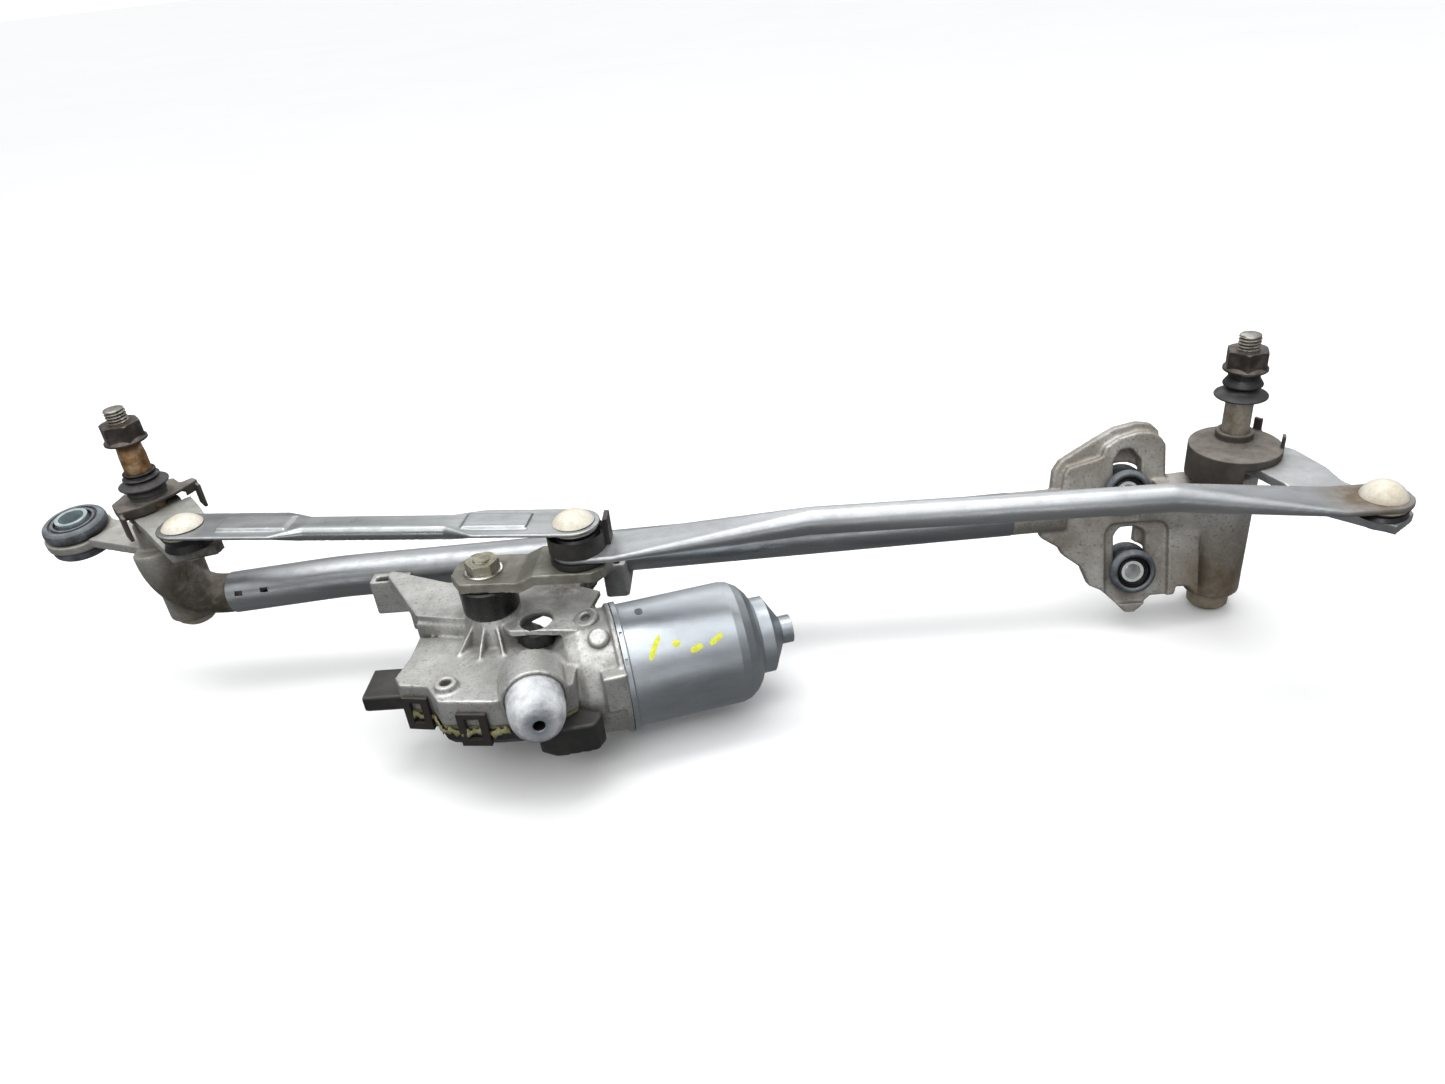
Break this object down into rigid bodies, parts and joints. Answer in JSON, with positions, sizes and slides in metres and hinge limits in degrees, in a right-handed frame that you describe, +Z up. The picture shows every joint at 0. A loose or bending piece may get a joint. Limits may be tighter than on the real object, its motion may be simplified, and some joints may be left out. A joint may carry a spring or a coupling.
{
  "type": "windshield wiper linkage",
  "caption": "Windshield wiper linkage: a gear motor's crank drives two wiper shafts through two links, all on one tube frame.",
  "frame": {"origin": "on the left wiper shaft's axis, at the top face of its nut where the free thread begins", "axes": "+Z up along both wiper shafts, +X from the left shaft to the right shaft, -Y towards the side where the motor hangs"},
  "size_m": [0.6614, 0.1648, 0.159],
  "materials": {
    "zinc_steel": "zinc plated, satin",
    "tube_zinc": "zinc plated, satin",
    "yoke_zinc": "zinc plated, satin",
    "cast_light": "die cast, as cast",
    "cast_grimy": "die cast, weathered",
    "crank_steel": "dull, oily",
    "lever_steel": "dull, grimy",
    "nut_steel": "dark oxide, dirty",
    "spindle_steel": "weathered, light rust",
    "sleeve_steel": "bright zinc",
    "plain_steel": "machined",
    "bronze": "sintered, oiled",
    "copper": "bare copper",
    "boot_rubber": "aged",
    "black_rubber": "matt",
    "grommet_rubber": "aged grey",
    "mount_rubber": "dusted with white powder",
    "white_nylon": "satin",
    "black_plastic": "matt",
    "cover_plastic": "dusty",
    "seal_rubber": "matt",
    "sealant": "yellow green, rough",
    "magnet": "ferrite",
    "phenolic": "moulded",
    "acetal": "moulded",
    "laminations": "stacked sheet"
  },
  "bodies": {
    "frame": {"frame_tube": "tube_zinc", "left_housing": "cast_grimy", "right_housing": "cast_grimy", "left_grommet": "grommet_rubber", "right_upper_grommet": "grommet_rubber", "right_lower_grommet": "grommet_rubber", "left_sleeve": "sleeve_steel", "right_upper_sleeve": "sleeve_steel", "right_lower_sleeve": "sleeve_steel", "gear_case": "cast_light", "output_bushes": "bronze", "crank_boot": "black_rubber", "rubber_mount": "mount_rubber", "hole_sleeve": "black_rubber", "case_sealant": "sealant", "case_bottom_cover": "black_plastic", "case_clips": "cover_plastic", "connector_housing": "black_plastic", "connector_blades": "copper", "motor_yoke": "yoke_zinc", "field_magnets": "magnet", "motor_bearings": "bronze", "brush_gear": "phenolic", "left_spindle_bushes": "bronze", "right_spindle_bushes": "bronze", "left_end_cap": "black_plastic", "right_end_cap": "black_plastic"},
    "left_pivot": {"left_spindle": "spindle_steel", "left_arm_nut": "nut_steel", "left_shaft_boot": "boot_rubber", "left_spindle_stops": "plain_steel", "left_lever": "lever_steel", "left_lever_stud": "plain_steel", "left_lever_cover": "cover_plastic"},
    "right_pivot": {"right_spindle": "spindle_steel", "right_arm_nut": "nut_steel", "right_shaft_boot": "boot_rubber", "right_spindle_stops": "plain_steel", "right_lever": "zinc_steel", "right_lever_stud": "plain_steel", "right_lever_cover": "cover_plastic"},
    "crank": {"crank_arm": "crank_steel", "crank_nut": "plain_steel", "crank_ball_stud": "plain_steel", "output_shaft": "plain_steel", "worm_wheel": "acetal"},
    "left_link_bar": {"left_link": "zinc_steel", "left_link_sockets": "white_nylon", "left_link_seals": "seal_rubber", "left_ball": "plain_steel"},
    "right_link_bar": {"right_link": "zinc_steel", "crank_lower_socket": "black_plastic", "right_link_socket": "white_nylon", "right_link_seal": "seal_rubber", "right_ball": "plain_steel"},
    "armature": {"armature_shaft": "plain_steel", "commutator": "copper", "armature_core": "laminations", "armature_windings": "copper"}
  },
  "joints": [
    {"name": "armature_spin", "type": "hinge", "parent": "frame", "child": "armature", "pos_m": [0.18607, -0.08215, -0.1172], "axis": [0.9659, 0.2588, 0], "range_deg": [-7200, 0]},
    {"name": "crank_turn", "type": "hinge", "parent": "frame", "child": "crank", "pos_m": [0.1796, -0.058, -0.06], "axis": [0, 0, 1], "range_deg": [-181, 1]},
    {"name": "left_link_swing", "type": "hinge", "parent": "crank", "child": "left_link_bar", "pos_m": [0.2256, -0.06, -0.0436], "axis": [0, 0, 1], "range_deg": [-1, 177]},
    {"name": "right_link_swing", "type": "hinge", "parent": "crank", "child": "right_link_bar", "pos_m": [0.2256, -0.06, -0.0546], "axis": [0, 0, 1], "range_deg": [-1, 183.5]},
    {"name": "left_wiper_pivot", "type": "hinge", "parent": "frame", "child": "left_pivot", "pos_m": [0, 0, -0.05], "axis": [0, 0, 1], "range_deg": [-108, 1]},
    {"name": "right_wiper_pivot", "type": "hinge", "parent": "frame", "child": "right_pivot", "pos_m": [0.5397, 0, -0.06], "axis": [0, 0, 1], "range_deg": [-76, 1]}
  ],
  "couplings": [
    {"joint": "crank_turn", "follows": "armature_spin", "ratio": 0.025},
    {"joint": "left_link_swing", "follows": "armature_spin", "ratio": -0.024411},
    {"joint": "right_link_swing", "follows": "armature_spin", "ratio": -0.025299},
    {"joint": "left_wiper_pivot", "follows": "armature_spin", "ratio": 0.014852},
    {"joint": "right_wiper_pivot", "follows": "armature_spin", "ratio": 0.010411}
  ]
}
